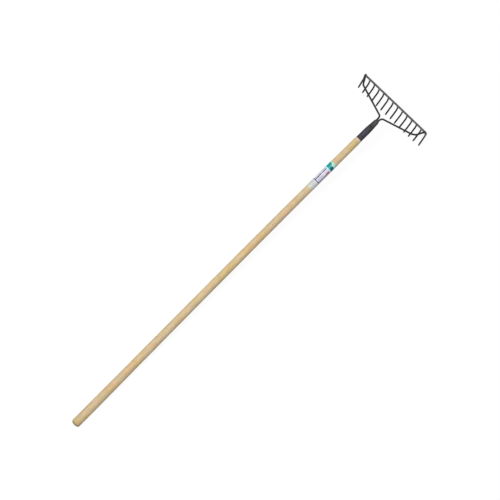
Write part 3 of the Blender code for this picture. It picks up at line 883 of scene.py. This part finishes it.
def bow_corners(side):
    foot_x = BOW_FOOT_X[side]
    socket_x = math.copysign(BOW_ROD_HALF_SPACING, foot_x)
    return [
        Vector((socket_x, BOW_ROD_START_Y, 0.0)),
        Vector((socket_x, 0.0, 0.0)),
        BOW_ARM_START[side],
        BOW_ARM_END[side],
        Vector((foot_x, BAR_Y, bar_height(foot_x))),
    ]


def bow_route(side):
    return filleted(bow_corners(side), (BOW_THROAT_BEND, BOW_INNER_BEND[side], BOW_OUTER_BEND[side]))


def make_bow_arm(side, material):
    route = bow_route(side)
    inward = (route[-2] - route[-1]).normalized()
    route[-1] += inward * (BAR_RADIUS * 0.4)  # the rod ends inside the bar
    mesh = rod("bow_arm_" + side, route, lambda place: BOW_ROD_RADIUS, BOW_TIP_FACTOR)
    add_piece("bow_arm_" + side, mesh, "bow_rod_" + side, material)


def bead(name, centre, radii, ripples, seed):
    """A run of weld metal: a lumpy mound with fine ripples along it."""
    mesh = bpy.data.meshes.new(name)
    body = bmesh.new()
    bmesh.ops.create_icosphere(body, subdivisions=BEAD_SUBDIVISIONS, radius=1.0)
    for vertex in body.verts:
        spot = vertex.co.copy()
        lump = BEAD_LUMPS * noise.noise(spot * 1.7 + Vector((seed, 0.0, 0.0)))
        grit = BEAD_GRIT * noise.noise(spot * 6.0 + Vector((0.0, seed, 0.0)))
        swirl = math.atan2(spot.x, spot.y) + 0.5 * spot.z
        ripple = BEAD_RIPPLES * math.sin(ripples * swirl) * (1 - spot.z**2)
        shape = spot * (BEAD_MEAN_SHARE + lump + grit + ripple)
        vertex.co = centre + Vector((shape.x * radii[0], shape.y * radii[1], shape.z * radii[2]))
    body.to_mesh(mesh)
    body.free()
    mesh.shade_smooth()
    return mesh


def make_bow_bead(side, material, seed):
    route = bow_route(side)
    inward = (route[-2] - route[-1]).normalized()
    centre = route[-1] + inward * BAR_RADIUS + BOW_BEAD_SHIFT[side]
    mesh = bead("bow_bead_" + side, centre, [BOW_BEAD_RADIUS[side]] * 3, 12, seed)
    add_piece("bow_bead_" + side, mesh, "bow_weld_" + side, material)


def make_throat_bead(material):
    centre = Vector((0.0, -WELD_REACH - 0.001, 0.0))
    radii = (SOCKET_END_HALF_WIDTH, WELD_REACH + 0.0015, SOCKET_END_HALF_HEIGHT - 0.0004)
    mesh = bead("throat_bead", centre, radii, 14, 5.0)
    add_piece("throat_bead", mesh, "throat_weld", material)


# ---------------------------------------------------------------- bar and tines
def tine_x(number):
    """The place along the bar of tine 2 to 13, counted from the left; the bar itself ends in 1 and 14."""
    return (number - (TINE_COUNT + 1) / 2) * TINE_PITCH


def tine_corners(x):
    axis = Vector((x, BAR_Y, BAR_Z))
    return [axis, axis + KNEE_OFFSET, axis + TIP_OFFSET]


def make_bent_bar(material):
    """The bar and both end tines, bent from one rod that is drawn thinner below the bends."""
    left = tine_corners(BAR_END_X["left"])
    right = tine_corners(BAR_END_X["right"])
    left[-1] += END_TIP_LEAN["left"]
    right[-1] += END_TIP_LEAN["right"]
    bends = (TINE_KNEE_BEND, BAR_CORNER_BEND, BAR_CORNER_BEND, TINE_KNEE_BEND)
    route = filleted(left[::-1] + right, bends)

    def radius_at(place):
        return BAR_RADIUS - (BAR_RADIUS - TINE_RADIUS) * ease(BAR_Z - place.z, 0.004, 0.034)

    mesh = rod("bent_bar", route, radius_at, TINE_TIP_FACTOR)
    add_piece("bent_bar", mesh, "head_bar", material)


def make_round_tine(number, material):
    """A welded tine; no two are bent or cut quite alike."""
    corners = tine_corners(tine_x(number))
    corners[1] += Vector([random.uniform(-TINE_KNEE_CHANCE, TINE_KNEE_CHANCE) for _ in range(3)])
    corners[2] += Vector([random.uniform(-TINE_TIP_CHANCE, TINE_TIP_CHANCE) for _ in range(2)] + [0.0])
    name = f"round_tine_{number:02d}"
    mesh = rod(name, filleted(corners, (TINE_KNEE_BEND,)), lambda place: TINE_RADIUS, TINE_TIP_FACTOR)
    add_piece(name, mesh, f"tine_{number:02d}", material)


def make_tine_bead(number, material):
    """A collar of weld metal that flares from the tine on to the bar, rippled where the weld ran round."""
    root, knee, _ = tine_corners(tine_x(number))
    down = (knee - root).normalized()
    side = Vector((1.0, 0.0, 0.0))
    other = down.cross(side)
    seed = number * 3.7
    rings = []
    for i in range(COLLAR_RINGS + 1):
        share = i / COLLAR_RINGS
        reach = BAR_RADIUS * 0.55 + share * (BAR_RADIUS * 0.45 + TINE_BEAD_REACH)
        flare = TINE_RADIUS * 0.97 + (TINE_BEAD_RADIUS - TINE_RADIUS) * (1 - share) ** 1.3
        ring = []
        for k in range(COLLAR_SIDES):
            angle = 2 * math.pi * k / COLLAR_SIDES
            outward = side * math.cos(angle) + other * math.sin(angle)
            spot = Vector((math.cos(angle), math.sin(angle), share * 2)) * 1.5 + Vector((seed, 0.0, 0.0))
            lump = COLLAR_LUMPS * (1 - share) * noise.noise(spot)
            wave = math.sin(COLLAR_RIPPLE_COUNT * angle + 3 * share + seed)
            ripple = COLLAR_RIPPLES * wave * share * (1 - share) ** 3
            ring.append(root + down * reach + outward * (flare + lump + ripple))
        rings.append(ring)
    name = f"tine_bead_{number:02d}"
    add_piece(name, skin(name, rings), f"tine_weld_{number:02d}", material)


# ---------------------------------------------------------------- assembly
def make_floor():
    mesh = bpy.data.meshes.new("studio_floor")
    body = bmesh.new()
    bmesh.ops.create_grid(body, x_segments=1, y_segments=1, size=FLOOR_SIZE)
    body.to_mesh(mesh)
    body.free()
    mesh.materials.append(floor_finish())
    floor = bpy.data.objects.new("studio_floor", mesh)
    bpy.context.scene.collection.objects.link(floor)
    floor.location.z = cad_low.z


def make_rake():
    charcoal = srgb(46, 44, 52)
    plum = srgb(84, 80, 96)
    grey = srgb(112, 112, 114)
    tip_height = BAR_Z + TIP_OFFSET.z
    # the socket's enamel has painted shade at the mouth and a painted highlight along its narrow end
    socket_paint = paint_finish("socket_enamel", srgb(60, 58, 68), plum, 0.55, stains_and_painted_light=socket_stains_and_painted_light)
    rod_paint = paint_finish("rod_enamel", charcoal, plum, 0.18)
    tine_paint = paint_finish("tine_enamel", srgb(28, 27, 32), plum, 0.08, tip_height)
    bar_paint = paint_finish("bar_enamel", srgb(60, 58, 64), grey, 0.75, tip_height, bar_stains)
    bead_paint = paint_finish("weld_enamel", srgb(58, 56, 62), grey, 0.30)
    nail_steel = nail_finish()

    make_shaft(wood_finish())
    make_film_label(label_finish())
    make_socket_shell(socket_paint)
    for name in NAIL_Y:
        make_socket_nail(name, nail_steel)
    for seed, side in enumerate(BOW_FOOT_X):
        make_bow_arm(side, rod_paint)
        make_bow_bead(side, bead_paint, 11.0 + seed * 4)
    make_throat_bead(bead_paint)
    make_bent_bar(bar_paint)
    for number in range(2, TINE_COUNT):
        make_round_tine(number, tine_paint)
        make_tine_bead(number, bead_paint)


make_camera()
make_studio()
make_floor()
make_rake()
